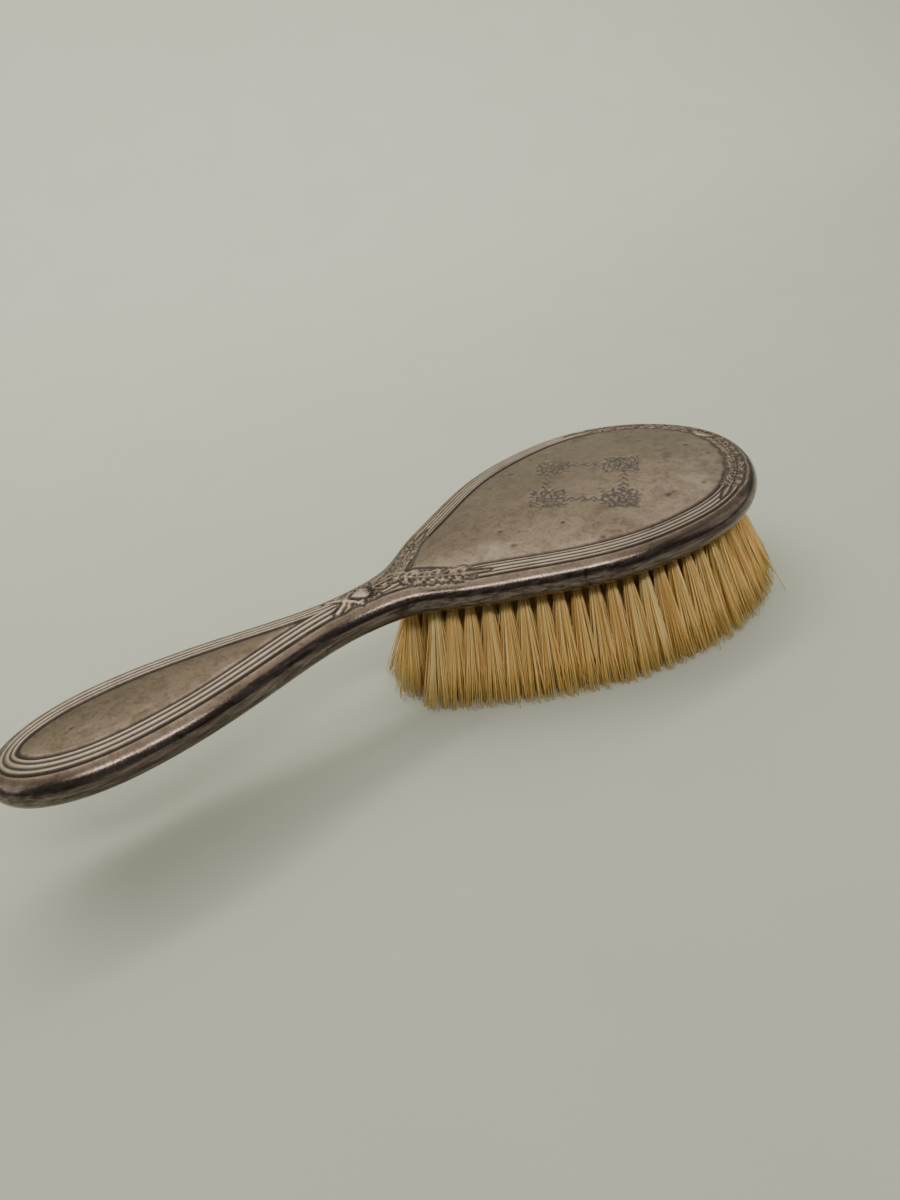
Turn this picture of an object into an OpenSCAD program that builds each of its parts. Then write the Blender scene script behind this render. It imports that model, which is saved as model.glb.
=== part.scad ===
// Vanity hairbrush: a stamped metal back and handle, soldered to an under shell,
// holding a drawn bristle board.  +Z up, millimetres.  The brush stands on its
// bristle tips at z = 0, handle towards -X, toe towards +X, origin under the middle.

/* [Overall] */
// length of the metal body, handle end to toe
brush_l = 240; // [236:1:246]
// widest width of the head
head_w = 84; // [82:0.5:85]
// widest width of the handle
handle_w = 36; // [34:0.5:38]
// width of the neck
neck_w = 15.4; // [15:0.2:17]
// height of the middle of the rolled edge over the bristle tips
rim_z = 34.5; // [32:0.5:37]
// radius of the rolled edge
edge_r = 4.7; // [4.6:0.1:4.9]

/* [Metal shells] */
// thickness of the stamped sheet with its backing solder
skin = 0.7; // [0.6:0.05:0.8]
// rise of the head's back over its rolled edge
head_crown = 2.4; // [1.5:0.1:3.2]
// rise of the handle's top
handle_crown = 0.9; // [0.5:0.1:1.3]
// how far the handle's underside bellies below the rolled edge
belly = 0.7; // [0.3:0.1:1.2]
// height of the border's raised reeds
reed_h = 0.3; // [0.15:0.05:0.4]

/* [Bristle board] */
// bare edge of the under shell round the board
lip_e = 5.9; // [5.7:0.1:6.1]
// thickness of the board
board_t = 5; // [4.8:0.1:5.2]
// distance of the outer tufts from the edge of the body
ring_e = 8.2; // [8.1:0.1:8.4]
// distance between rows of tufts
ring_gap = 5.62; // [5.6:0.02:5.7]
// distance between tufts along a row
pitch = 5; // [5:0.1:5.6]

/* [Tufts] */
// radius of a tuft where it leaves the board
tuft_r0 = 1.25; // [1.2:0.05:1.4]
// radius of an inner tuft at its tip
tuft_r1 = 2.2; // [2.0:0.05:2.25]
// radius of an outer tuft at its tip
tuft_r1_outer = 2.25; // [2.0:0.05:2.3]
// length of tuft held in its hole
shank = 3.8; // [3.5:0.1:4]
// clearance of a tuft in its hole
hole_gap = 0.1; // [0.05:0.01:0.15]
// outward lean of the outer tufts, degrees
lean_outer = 18.5; // [14:0.5:19]

/* [Hidden] */
eps = 0.05;
// control sizes of the outline: handle, neck, knee of the heel, widest place
x_h = 31;
x_n = 96;
x_k = 129.7;
x_m = 192;
w_h = handle_w / 2;
w_n = neck_w / 2;
w_m = head_w / 2;
w_k = w_m * 0.506;
k_dir = [0.88, 0.475];
segs = [
  [[0, 0], [0, 9.2], [x_h - 19, w_h], [x_h, w_h]],
  [[x_h, w_h], [x_h + 27, w_h], [x_n - 17.5, w_n], [x_n, w_n]],
  [[x_n, w_n], [x_n + 20.2, w_n], [x_k, w_k] - 16.8 * k_dir, [x_k, w_k]],
  [[x_k, w_k], [x_k, w_k] + 26.6 * k_dir, [x_m - 27.8, w_m], [x_m, w_m]],
  [[x_m, w_m], [x_m + 29.7, w_m], [brush_l, 19], [brush_l, 0]]
];
seg_n = [9, 9, 13, 13, 12];

function bz(p, t) = pow(1 - t, 3) * p[0] + 3 * t * pow(1 - t, 2) * p[1]
  + 3 * t * t * (1 - t) * p[2] + t * t * t * p[3];
function bd(p, t) = pow(1 - t, 2) * (p[1] - p[0]) + 2 * t * (1 - t) * (p[2] - p[1])
  + t * t * (p[3] - p[2]);
function unit(v) = v / norm(v);
// outline points with their inward normals: [x, y, nx, ny]
function outline(k) = [
  for (s = [0:4])
    for (i = [(s == 0 ? 0 : 1):seg_n[s] * k])
      let(t = i / (seg_n[s] * k), p = bz(segs[s], t), d = unit(bd(segs[s], t)))
        [p[0], max(0, p[1]), d[1], -d[0]]
];
st = outline(1);
n_st = len(st) - 1;

// middle line of each station, kept clear of the two rounded ends
function soft_max(a, b, d) = (a + b + sqrt((a - b) * (a - b) + d * d)) / 2;
function spine_x(x) = let(a = soft_max(x, 10.5, 4)) brush_l - soft_max(brush_l - a, 27, 8);
function crown(x) = lookup(x, [[0, handle_crown], [60, handle_crown], [96, 0.5],
  [125, head_crown * 0.65], [160, head_crown], [205, head_crown], [240, head_crown * 0.9]]);
function groove_out(x) = lookup(x, [[0, 3.7], [75, 3.7], [96, 3.2], [124, 3.8], [240, 3.8]]);
function groove_in(x) = lookup(x, [[0, 8.6], [74, 8.6], [88, 6.7],
  [96, 6.3], [110, 7.4], [124, 8.9], [240, 8.9]]);

// a point of station i, e in from the edge and h over the rim's middle line
function base_pt(i) = [st[i][0], st[i][1]];
// nudged along so that no two stations meet in the same middle point
function spine_pt(i) = [spine_x(st[i][0]) + 0.03 * (st[i][0] < x_n ? 1 : -1) * st[i][1], 0];
function dir_pt(i) = unit(spine_pt(i) - base_pt(i));
function reach(i) = norm(spine_pt(i) - base_pt(i));
function step_e(i, e) = e / (dir_pt(i)[0] * st[i][2] + dir_pt(i)[1] * st[i][3]);
function at(i, e, h) = let(s = min(step_e(i, e), reach(i)), q = base_pt(i) + s * dir_pt(i))
  [q[0], q[1], rim_z + h];
// a point of station i, at fraction f of the way from offset e to the middle line
function toward(i, e, f, h) = let(q = (1 - f) * (base_pt(i) + min(step_e(i, e), reach(i)) * dir_pt(i))
  + f * spine_pt(i)) [q[0], f == 1 ? 0 : q[1], rim_z + h];

// smooth height of the back over the rim's middle line at offset e
function dome(i, e) = e < edge_r ? sqrt(edge_r * edge_r - pow(edge_r - e, 2))
  : edge_r + crown(st[i][0]) * (1 - pow(1 - min(1, (e - edge_r) / max(1, reach(i) - edge_r)), 2));
function dome_f(i, e, f) = dome(i, e + f * (reach(i) - e));

seam_a = 35;
seam_gap = 1;
// the reeded border: place across it, and height
reeds = [[0, -0.8], [0.07, 0], [0.17, 1], [0.27, 0.1], [0.33, -0.45], [0.4, 0.2], [0.5, 1],
  [0.6, 0.2], [0.67, -0.45], [0.73, 0.1], [0.83, 1], [0.93, 0], [1, -0.8]];

// chain of a station across the back shell, from the middle out and back inside
function back_chain(i) = let(x = st[i][0], g0 = groove_out(x), g1 = groove_in(x))
  concat(
    [for (f = [1, 0.72, 0.42, 0.16]) toward(i, g1 + 0.6, f, dome_f(i, g1 + 0.6, f))],
    [at(i, g1 + 0.6, dome(i, g1 + 0.6))],
    [for (k = [12:-1:0]) let(e = g0 + reeds[k][0] * (g1 - g0))
      at(i, e, dome(i, e) + reed_h * reeds[k][1])],
    [at(i, g0 - 0.45, dome(i, g0 - 0.45))],
    [for (a = [38, 20, 0, -18, -seam_a + seam_gap])
      at(i, edge_r * (1 - cos(a)), edge_r * sin(a))],
    [for (a = [-seam_a + seam_gap, -12, 12, 34])
      at(i, edge_r - (edge_r - skin) * cos(a), (edge_r - skin) * sin(a))],
    [for (e = [g0 + 0.9, g1 + 0.6]) at(i, e, dome(i, e) - skin - reed_h)],
    [for (f = [0.25, 0.6, 1]) toward(i, g1 + 0.6, f, dome_f(i, g1 + 0.6, f) - skin)]
  );

// the opening for the board: its half width at each place
i_open = max([for (i = [0:n_st]) st[i][0] <= 110.5 ? i : 0]);
x_open = st[i_open][0];
function open_e(i) = i <= i_open ? 99
  : let(x = st[i][0], r = 7, y = x < x_open + r ? sqrt(r * r - pow(x_open + r - x, 2)) : 99)
    max(lip_e, (st[i][1] - y) * abs(st[i][3]));
flange_gap = 0.05;
flange_h = 2;
// chain of a station across the under shell, from the outside middle or lip and back
function under_chain(i) = let(o = open_e(i), r0 = edge_r, r1 = edge_r - skin,
    r2 = r1 - flange_gap, r3 = r2 - 0.55, rise = asin(min(1, (flange_h - 1.4) / r2)),
    hb = i <= i_open ? -belly : 0, ei = min(o, reach(i)), mid = i <= i_open)
  concat(
    mid ? [toward(i, edge_r, 1, -r0 + hb)] : [at(i, ei, -r0)],
    [mid ? toward(i, edge_r, 0.5, -r0 + 0.75 * hb) : at(i, (edge_r + ei) / 2, -r0)],
    [for (a = [88, 70, 52, seam_a + seam_gap]) at(i, r0 * (1 - cos(a)), -r0 * sin(a))],
    [at(i, r0 - r2 * cos(seam_a + seam_gap), -r2 * sin(seam_a + seam_gap))],
    [for (a = [18, 0]) at(i, r0 - r2 * cos(a), -r2 * sin(a))],
    [for (a = [0, 18]) at(i, r0 - r3 * cos(a), -r3 * sin(a))],
    [for (a = [46, 66, 88]) at(i, r0 - r1 * cos(a), -r1 * sin(a))],
    [mid ? toward(i, edge_r, 0.5, -r1 + 0.75 * hb) : at(i, (edge_r + ei) / 2, -r1)],
    mid ? [toward(i, edge_r, 1, -r1 + hb)] : [at(i, ei, -r1)]
  );
function back_to_front(c) = [for (j = [len(c) - 1:-1:0]) c[j]];
function seam_chain(i) = let(r0 = edge_r - 0.06, r1 = edge_r - skin + 0.06,
    a0 = seam_a - seam_gap + 0.3, a1 = seam_a + seam_gap - 0.3)
  [for (p = [[r0, a0], [r0, a1], [r1, a1], [r1, a0], [r0, a0]])
    at(i, edge_r - p[0] * cos(p[1]), -p[0] * sin(p[1]))];
// filling between the cover veneer and the back shell
veneer_z = rim_z - edge_r + 0.4 + board_t + 0.55;
veneer_t = 0.75;
function cement_chain(i) = let(x = st[i][0], g1 = groove_in(x), r1 = edge_r - skin - 0.06,
    hz = veneer_z + veneer_t + 0.08, lo = 1.8, hi = skin + 0.1)
  concat(
    [for (f = [1, 0.6, 0.25]) toward(i, g1 + 0.6, f, dome_f(i, g1 + 0.6, f) - hi)],
    [for (e = [g1 + 0.6, groove_out(x) + 0.9]) at(i, e, dome(i, e) - hi - reed_h)],
    [at(i, edge_r - r1 * cos(43), r1 * sin(43))],
    [let(q = at(i, lo, 0)) [q[0], q[1], hz]],
    [let(q = toward(i, lo, 0.5, 0)) [q[0], q[1], hz]],
    [let(q = toward(i, lo, 1, 0)) [q[0], 0, hz]]
  );
// filling of the handle
i_neck = max([for (i = [0:n_st]) st[i][0] <= 106.5 ? i : 0]);
function pitch_chain(i) = let(x = st[i][0], g1 = groove_in(x), r1 = edge_r - skin - 0.7,
    hi = skin + 0.1, hb = skin + 0.1)
  concat(
    [for (f = [1, 0.5]) toward(i, g1 + 0.6, f, dome_f(i, g1 + 0.6, f) - hi)],
    [for (e = [g1 + 0.6, groove_out(x) + 0.9]) at(i, e, dome(i, e) - hi - reed_h)],
    [for (a = [40, 10, -20, -50]) at(i, edge_r - r1 * cos(a), r1 * sin(a))],
    [at(i, edge_r - 0.2, -edge_r + hb + 0.1)],
    [toward(i, edge_r, 0.5, -edge_r - 0.75 * belly + hb)],
    [toward(i, edge_r, 1, -edge_r - belly + hb)]
  );

// a closed skin through the chains of stations a to b, mirrored over the middle plane
module skin_solid(ch, a, b, ring, open_from) {
  m = len(ch[0]);
  n = b - a + 1;
  pts = concat([for (i = [a:b]) for (p = ch[i]) p],
    [for (i = [a:b]) for (p = ch[i]) [p[0], -p[1], p[2]]]);
  // both halves share the points that lie on the middle plane
  function id(s, i, j) = (s == 1 && abs(ch[i][j][1]) > 0.0001 ? n * m : 0) + (i - a) * m + j;
  grid = [for (s = [0, 1]) for (i = [a:b - 1]) for (j = [0:m - 2])
    let(p = id(s, i, j), q = id(s, i, j + 1), r = id(s, i + 1, j + 1), t = id(s, i + 1, j))
      // where both ends of a diagonal lie on the middle plane the other one is used
      each (abs(ch[i][j][1]) < 0.0001 && abs(ch[i + 1][j + 1][1]) < 0.0001
        ? (s == 0 ? [[p, q, t], [q, r, t]] : [[p, t, q], [q, t, r]])
        : (s == 0 ? [[p, q, r], [p, r, t]] : [[p, r, q], [p, t, r]]))];
  // wall that joins the two ends of the chains where the skin has an opening
  wall = [for (s = [0, 1]) for (i = [max(a, open_from):b - 1])
    let(p = id(s, i, 0), q = id(s, i, m - 1), r = id(s, i + 1, m - 1), t = id(s, i + 1, 0))
      each (s == 0 ? [[p, r, q], [p, t, r]] : [[p, q, r], [p, r, t]])];
  // flat end where the body of the skin stops short of the rounded end
  cap = ring ? [] : concat(
    abs(ch[a][1][1]) > 0.0001 ? [concat([for (j = [m - 1:-1:0]) id(0, a, j)],
      [for (j = [1:m - 2]) id(1, a, j)])] : [],
    abs(ch[b][1][1]) > 0.0001 ? [concat([for (j = [0:m - 1]) id(0, b, j)],
      [for (j = [m - 2:-1:1]) id(1, b, j)])] : []);
  ok = [for (f = concat(grid, wall)) if (f[0] != f[1] && f[1] != f[2] && f[0] != f[2]) f];
  polyhedron(points = pts, faces = concat(ok, cap), convexity = 8);
}

// rows of tufts
board_z = rim_z - edge_r + 0.4;
board_top = board_z + board_t;
x_heel = 115.4;
dense = outline(4);
leans = [for (q = [1, 0.8, 0.6, 0.41, 0.24, 0.1]) lean_outer * q];
// near the heel the tufts lean towards the handle, and less to the sides
function heel_lean(x) = 0.14 * pow(max(0, 1 - (x - x_heel) / 38), 1.4);
function side_lean(x) = 1 - 0.5 * max(0, 1 - (x - x_heel) / 28);
function row_path(k) = let(e = ring_e + ring_gap * k) [
  for (j = [len(dense) - 1:-1:0])
    let(d = dense[j], x = d[0] + e * d[2], y = d[1] + e * d[3])
      if (d[0] > 100 && x >= x_heel && y >= (d[0] > x_m ? 5.1 : 4.9))
        [x, y, -tan(leans[k]) * d[2], -tan(leans[k]) * d[3]]
];
function xy(p) = [p[0], p[1]];
function sums(p, i = 0, s = 0) = i >= len(p) ? []
  : let(t = s + (i == 0 ? 0 : norm(xy(p[i]) - xy(p[i - 1])))) concat([t], sums(p, i + 1, t));
function find(s, v, i = 0) = (i >= len(s) - 2 || s[i + 1] >= v) ? i : find(s, v, i + 1);
function side_row(k) = let(p = row_path(k), s = sums(p), l = s[len(s) - 1],
    n = max(1, round(l / pitch)))
  [for (q = [0:n]) let(v = l * q / n, i = find(s, v), f = (v - s[i]) / (s[i + 1] - s[i]),
      a = (1 - f) * p[i] + f * p[i + 1], c = side_lean(a[0]))
    [a[0], a[1], c * a[2] - heel_lean(a[0]), c * a[3]]];
x_toe = brush_l - ring_e;
n_mid = floor((x_toe - x_heel) / ring_gap);
mid_gap = (x_toe - x_heel) / n_mid;
mid_row = [for (j = [0:n_mid]) let(x = x_toe - j * mid_gap)
  [x, 0, (j < 6 ? tan(leans[j]) : 0) - heel_lean(x), 0]];
rows = [for (k = [0:5]) side_row(k)];
function flip(r) = [for (p = r) [p[0], -p[1], p[2], -p[3]]];
// rows counted from the left side of the head to the right: 0 to 5, middle 6, then 7 to 12
function row(n) = n < 6 ? rows[n] : (n == 6 ? mid_row : flip(rows[12 - n]));
function outer(n) = n == 0 || n == 12;
function angle(p) = atan(norm([p[2], p[3]]));
function turn(p) = atan2(p[3], p[2]);
function tip_r(n, i) = (outer(n) || (n == 6 && i == 0)) ? tuft_r1_outer : tuft_r1;

tip_x = x_toe + tan(lean_outer) * board_z + tuft_r1_outer * cos(lean_outer) * 0.93;
x_mid = max(brush_l, tip_x) / 2;

metal = [0.66, 0.63, 0.59];
wood = [0.36, 0.2, 0.12];
straw = [0.85, 0.72, 0.46];
filler = [0.25, 0.2, 0.17];

module place() {
  translate([-x_mid, 0, 0])
    children();
}

// one tuft: shank in its hole, then a spreading brush down to the trimmed tips
module tuft(p, r1) {
  a = angle(p);
  l = (board_z - r1 * sin(a)) / cos(a);
  translate([p[0], p[1], board_z])
    rotate([0, 180 - a, turn(p)])
      rotate_extrude($fn = 24)
        polygon([[0, -shank + 1.3], [0.35, -shank + 1.3], [0.35, -shank], [tuft_r0, -shank],
          [tuft_r0, 0], [r1, l], [0, l]]);
}

module tuft_row(n) {
  color(straw)
    place()
      for (i = [0:len(row(n)) - 1])
        tuft(row(n)[i], tip_r(n, i));
}

// the drawing wire of a row: its run on the back of the board and its legs
function back_pt(p) = [p[0] - p[2] * board_t, p[1] - p[3] * board_t];
wire_w = 0.5;
module wire_run(n) {
  q = [for (p = row(n)) back_pt(p)];
  m = len(q) - 1;
  t = [for (i = [0:m]) unit(q[min(m, i + 1)] - q[max(0, i - 1)])];
  e = [for (i = [0:m]) q[i] + (i == 0 ? -0.5 : (i == m ? 0.5 : 0)) * t[i]];
  lft = [for (i = [0:m]) e[i] + wire_w / 2 * [-t[i][1], t[i][0]]];
  rgt = [for (i = [m:-1:0]) e[i] - wire_w / 2 * [-t[i][1], t[i][0]]];
  translate([0, 0, board_top + 0.02])
    linear_extrude(height = 0.46)
      polygon(concat(rgt, lft));
}

module draw_wire(n) {
  color([0.72, 0.58, 0.3])
    place() {
      wire_run(n);
      for (p = row(n))
        translate([back_pt(p)[0], back_pt(p)[1], board_top])
          rotate([0, 180 - angle(p), turn(p)])
            translate([0, 0, -0.25])
              cylinder(r = 0.2, h = (board_t - shank) / cos(angle(p)) + 1.15, $fn = 16);
    }
}

// outlines of the board
function board_line(e, x0) = let(u = [for (i = [0:n_st])
    let(s = min(step_e(i, e), reach(i)), q = base_pt(i) + s * dir_pt(i)) if (q[0] > x0 + 0.2) q])
  concat([[x0, u[0][1] - 1.5]], [for (p = u) p],
    [for (i = [len(u) - 2:-1:0]) [u[i][0], -u[i][1]]], [[x0, 1.5 - u[0][1]]]);
function boss_line() = let(u = [for (i = [i_open + 1:n_st])
    let(e = open_e(i) + 0.15, s = min(step_e(i, e), reach(i)), q = base_pt(i) + s * dir_pt(i)) q])
  concat([[x_open + 0.25, 1.2]], u, [for (i = [len(u) - 2:-1:0]) [u[i][0], -u[i][1]]],
    [[x_open + 0.25, -1.2]]);
flange_z = rim_z - edge_r + skin + 0.08;

module bristle_board() {
  color(wood)
    place()
      difference() {
        union() {
          translate([0, 0, flange_z])
            linear_extrude(height = board_top - flange_z)
              polygon(board_line(3.85, 109));
          translate([0, 0, board_z])
            linear_extrude(height = flange_z - board_z + eps)
              polygon(boss_line());
        }
        for (n = [0:12])
          for (p = row(n))
            translate([p[0], p[1], board_z])
              rotate([0, 180 - angle(p), turn(p)]) {
                translate([0, 0, -shank - 0.1])
                  cylinder(r = tuft_r0 + hole_gap, h = shank + 1.5, $fn = 24);
                translate([0, 0, -board_t - 2])
                  cylinder(r = 0.45, h = board_t, $fn = 16);
              }
        // mortise for the tang
        translate([108, -tang_w / 2 - 0.05, tang_z - 0.05])
          cube([5, tang_w + 0.1, tang_t + 0.1]);
      }
}

module cover_veneer() {
  color([0.5, 0.33, 0.2])
    place()
      translate([0, 0, veneer_z])
        linear_extrude(height = veneer_t)
          polygon(board_line(4.2, 109.4));
}

tang_w = 5;
tang_t = 1.6;
tang_z = rim_z - 1.6;
module neck_tang() {
  color([0.45, 0.45, 0.47])
    place()
      translate([0, 0, tang_z])
        linear_extrude(height = tang_t)
          polygon([[58, -1.5], [112.8, -tang_w / 2], [112.8, tang_w / 2], [58, 1.5]]);
}

module handle_pitch() {
  color(filler)
    place()
      difference() {
        skin_solid([for (i = [0:n_st]) pitch_chain(i)], 0, i_neck, false, 999);
        translate([0, 0, tang_z - 0.05])
          linear_extrude(height = tang_t + 0.1)
            polygon([[57.9, -1.55], [114, -tang_w / 2 - 0.1], [114, tang_w / 2 + 0.1],
              [57.9, 1.55]]);
      }
}

module head_cement() {
  color(filler)
    place()
      skin_solid([for (i = [0:n_st]) cement_chain(i)], i_neck + 1, n_st, false, 999);
}

module back_shell() {
  color(metal)
    place()
      skin_solid([for (i = [0:n_st]) back_chain(i)], 0, n_st, false, 999);
}

module under_shell() {
  color(metal * 0.85)
    place()
      skin_solid([for (i = [0:n_st]) back_to_front(under_chain(i))], 0, n_st, false, i_open);
}

module solder_seam() {
  color([0.8, 0.8, 0.78])
    place()
      skin_solid([for (i = [0:n_st]) seam_chain(i)], 0, n_st, true, 999);
}

back_shell();
under_shell();
solder_seam();
bristle_board();
cover_veneer();
head_cement();
handle_pitch();
neck_tang();
tuft_row(0);  // tuft_row_01
tuft_row(1);  // tuft_row_02
tuft_row(2);  // tuft_row_03
tuft_row(3);  // tuft_row_04
tuft_row(4);  // tuft_row_05
tuft_row(5);  // tuft_row_06
tuft_row(6);  // tuft_row_07
tuft_row(7);  // tuft_row_08
tuft_row(8);  // tuft_row_09
tuft_row(9);  // tuft_row_10
tuft_row(10);  // tuft_row_11
tuft_row(11);  // tuft_row_12
tuft_row(12);  // tuft_row_13
draw_wire(0);  // draw_wire_01
draw_wire(1);  // draw_wire_02
draw_wire(2);  // draw_wire_03
draw_wire(3);  // draw_wire_04
draw_wire(4);  // draw_wire_05
draw_wire(5);  // draw_wire_06
draw_wire(6);  // draw_wire_07
draw_wire(7);  // draw_wire_08
draw_wire(8);  // draw_wire_09
draw_wire(9);  // draw_wire_10
draw_wire(10);  // draw_wire_11
draw_wire(11);  // draw_wire_12
draw_wire(12);  // draw_wire_13
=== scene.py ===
"""Vanity hairbrush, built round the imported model.

Lengths are millimetres in the brush's own frame (x from the handle end to the toe, y to
the left side of the head, height over the middle of the rolled edge) until to_row()
turns them into the row frame in metres.
"""
import math
import bpy
import numpy as np
from mathutils import Matrix, Vector


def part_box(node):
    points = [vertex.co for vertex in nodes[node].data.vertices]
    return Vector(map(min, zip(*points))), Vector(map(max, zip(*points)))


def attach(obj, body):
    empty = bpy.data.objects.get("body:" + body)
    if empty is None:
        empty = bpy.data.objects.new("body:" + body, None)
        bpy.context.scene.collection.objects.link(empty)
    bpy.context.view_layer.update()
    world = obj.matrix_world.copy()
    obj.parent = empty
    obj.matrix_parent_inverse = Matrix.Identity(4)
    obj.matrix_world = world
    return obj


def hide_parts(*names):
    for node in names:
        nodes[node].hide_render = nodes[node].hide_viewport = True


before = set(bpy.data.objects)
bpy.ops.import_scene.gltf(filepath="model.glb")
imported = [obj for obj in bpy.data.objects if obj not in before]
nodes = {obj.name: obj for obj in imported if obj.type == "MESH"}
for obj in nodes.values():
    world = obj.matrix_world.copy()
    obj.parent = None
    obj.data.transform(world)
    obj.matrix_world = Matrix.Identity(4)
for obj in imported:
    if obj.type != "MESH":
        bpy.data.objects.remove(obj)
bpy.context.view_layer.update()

# ---------------------------------------------------------------- sizes, as in the part
EDGE_R = 4.7            # radius of the rolled edge
SKIN = 0.7              # thickness of the sheet
BOARD_GAP = 0.4         # from the bottom of the rolled edge up to the board
HANDLE_HALF, NECK_HALF = 18.0, 7.7
X_HANDLE, X_NECK, X_KNEE, X_WIDE = 31.0, 96.0, 129.7, 192.0
KNEE_SHARE = 0.506      # half width at the knee of the heel over the greatest one
KNEE_DIR = np.array([0.88, 0.475])      # the outline's direction there
BELLY = 0.7             # how far the handle's underside bulges
LIP_E = 5.9             # bare lip round the bristle board
X_OPEN, OPEN_R = 109.6, 7.0     # rounded heel end of the opening for the board
SEAM_A, SEAM_GAP = 35.0, 1.0    # the seam's place on the roll and half its width, in degrees

low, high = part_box("back_shell")
X_END = low.x * 1000
LENGTH = (high.x - low.x) * 1000
HEAD_HALF = high.y * 1000
BOARD_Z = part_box("bristle_board")[0].z
RIM_Z = BOARD_Z * 1000 + EDGE_R - BOARD_GAP


def to_row(p):
    """Points (x, y, height) in millimetres to the row frame in metres."""
    p = np.asarray(p, float)
    return (p + np.array([X_END, 0.0, RIM_Z])) / 1000


# ---------------------------------------------------------------- outline of the body
KNEE = np.array([X_KNEE, HEAD_HALF * KNEE_SHARE])
# cubic Bezier segments of one side; the offsets are the lengths of their handles
SEGMENTS = [
    [(0, 0), (0, 9.2), (X_HANDLE - 19, HANDLE_HALF), (X_HANDLE, HANDLE_HALF)],
    [(X_HANDLE, HANDLE_HALF), (X_HANDLE + 27, HANDLE_HALF),
     (X_NECK - 17.5, NECK_HALF), (X_NECK, NECK_HALF)],
    [(X_NECK, NECK_HALF), (X_NECK + 20.2, NECK_HALF), KNEE - 16.8 * KNEE_DIR, KNEE],
    [KNEE, KNEE + 26.6 * KNEE_DIR, (X_WIDE - 27.8, HEAD_HALF), (X_WIDE, HEAD_HALF)],
    [(X_WIDE, HEAD_HALF), (X_WIDE + 29.7, HEAD_HALF), (LENGTH, 19), (LENGTH, 0)],
]


def bezier(p, t):
    """Points of a cubic Bezier at the parameters t."""
    p = np.asarray(p, float)
    t = np.asarray(t, float)[:, None]
    return ((1 - t) ** 3 * p[0] + 3 * t * (1 - t) ** 2 * p[1]
            + 3 * t * t * (1 - t) * p[2] + t ** 3 * p[3])


def resample(points, n):
    """n + 1 points evenly spaced along a polyline."""
    step = np.linalg.norm(np.diff(points, axis=0), axis=1)
    run = np.concatenate([[0], np.cumsum(step)])
    want = np.linspace(0, run[-1], n + 1)
    return np.stack([np.interp(want, run, points[:, k]) for k in range(points.shape[1])], 1)


# the outline as a fine polyline
FINE = np.concatenate([bezier(s, np.linspace(0, 1, 600)[(1 if k else 0):])
                       for k, s in enumerate(SEGMENTS)])


def lookup(x, table):
    """Value at x from a table of (x, value)."""
    return np.interp(x, [t[0] for t in table], [t[1] for t in table])


def soft_max(a, b, d):
    """The larger of a and b, rounded over a width of about d."""
    return (a + b + np.sqrt((a - b) ** 2 + d * d)) / 2


def step_up(a, b, x):
    """0 below a, 1 above b, smooth between."""
    t = np.clip((x - a) / (b - a), 0, 1)
    return t * t * (3 - 2 * t)


def bump(x, centre, width):
    """A bell of height 1."""
    return np.exp(-((x - centre) / width) ** 2)


# the middle line that the stations run to: how far it stops short of the handle's end and
# of the toe, how wide each stop is rounded, and how far it leans with the outline's width
SPINE_SHORT, SPINE_ROUND, SPINE_LEAN = (10.5, 27), (4, 8), 0.03


class Stations:
    """Places along half the outline, each with a line in from the edge to the middle."""

    def __init__(self, spacing):
        """spacing is a table of (x, distance to the next station)."""
        step = np.linalg.norm(np.diff(FINE, axis=0), axis=1)
        run = np.concatenate([[0], np.cumsum(step / lookup(FINE[1:, 0], spacing))])
        want = np.linspace(0, run[-1], int(round(run[-1])) + 1)
        p = np.stack([np.interp(want, run, FINE[:, k]) for k in (0, 1)], 1)
        d = np.gradient(p, axis=0)
        d[0], d[-1] = (0, 1), (0, -1)
        d /= np.linalg.norm(d, axis=1, keepdims=True)
        p[0, 1] = p[-1, 1] = 0
        self.p = p
        self.x = p[:, 0]
        self.normal = np.stack([d[:, 1], -d[:, 0]], 1)
        inner = soft_max(self.x, SPINE_SHORT[0], SPINE_ROUND[0])
        inner = LENGTH - soft_max(LENGTH - inner, SPINE_SHORT[1], SPINE_ROUND[1])
        side = np.where(self.x < X_NECK, 1, -1)
        self.spine = np.stack([inner + SPINE_LEAN * side * p[:, 1], 0 * inner], 1)
        v = self.spine - p
        self.reach = np.linalg.norm(v, axis=1)
        self.dir = v / self.reach[:, None]
        self.cos = (self.dir * self.normal).sum(1)
        self.n = len(p)

    def at(self, e):
        """The points at offset e from the outline, or on the middle line if that is nearer."""
        s = np.minimum(np.broadcast_to(e, self.n) / self.cos, self.reach)
        q = self.p + s[:, None] * self.dir
        q[s >= self.reach, 1] = 0
        return q

    def toward(self, e, f):
        """The points at share f of the way from offset e to the middle line."""
        q = (1 - f) * self.at(e) + f * self.spine
        if f == 1:
            q[:, 1] = 0
        return q


def crown(x):
    """How high the back rises over the roll at the middle."""
    return lookup(x, [(0, 0.9), (60, 0.9), (96, 0.5), (125, 1.56), (160, 2.4), (205, 2.4),
                      (240, 2.16)])


def dome(x, e, reach):
    """Height of the plain back at offset e from the edge."""
    t = np.clip((e - EDGE_R) / np.maximum(1, reach - EDGE_R), 0, 1)
    roll = np.sqrt(np.maximum(0, EDGE_R ** 2 - np.maximum(0, EDGE_R - e) ** 2))
    return np.where(e < EDGE_R, roll, EDGE_R + crown(x) * (1 - (1 - t) ** 2))


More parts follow.
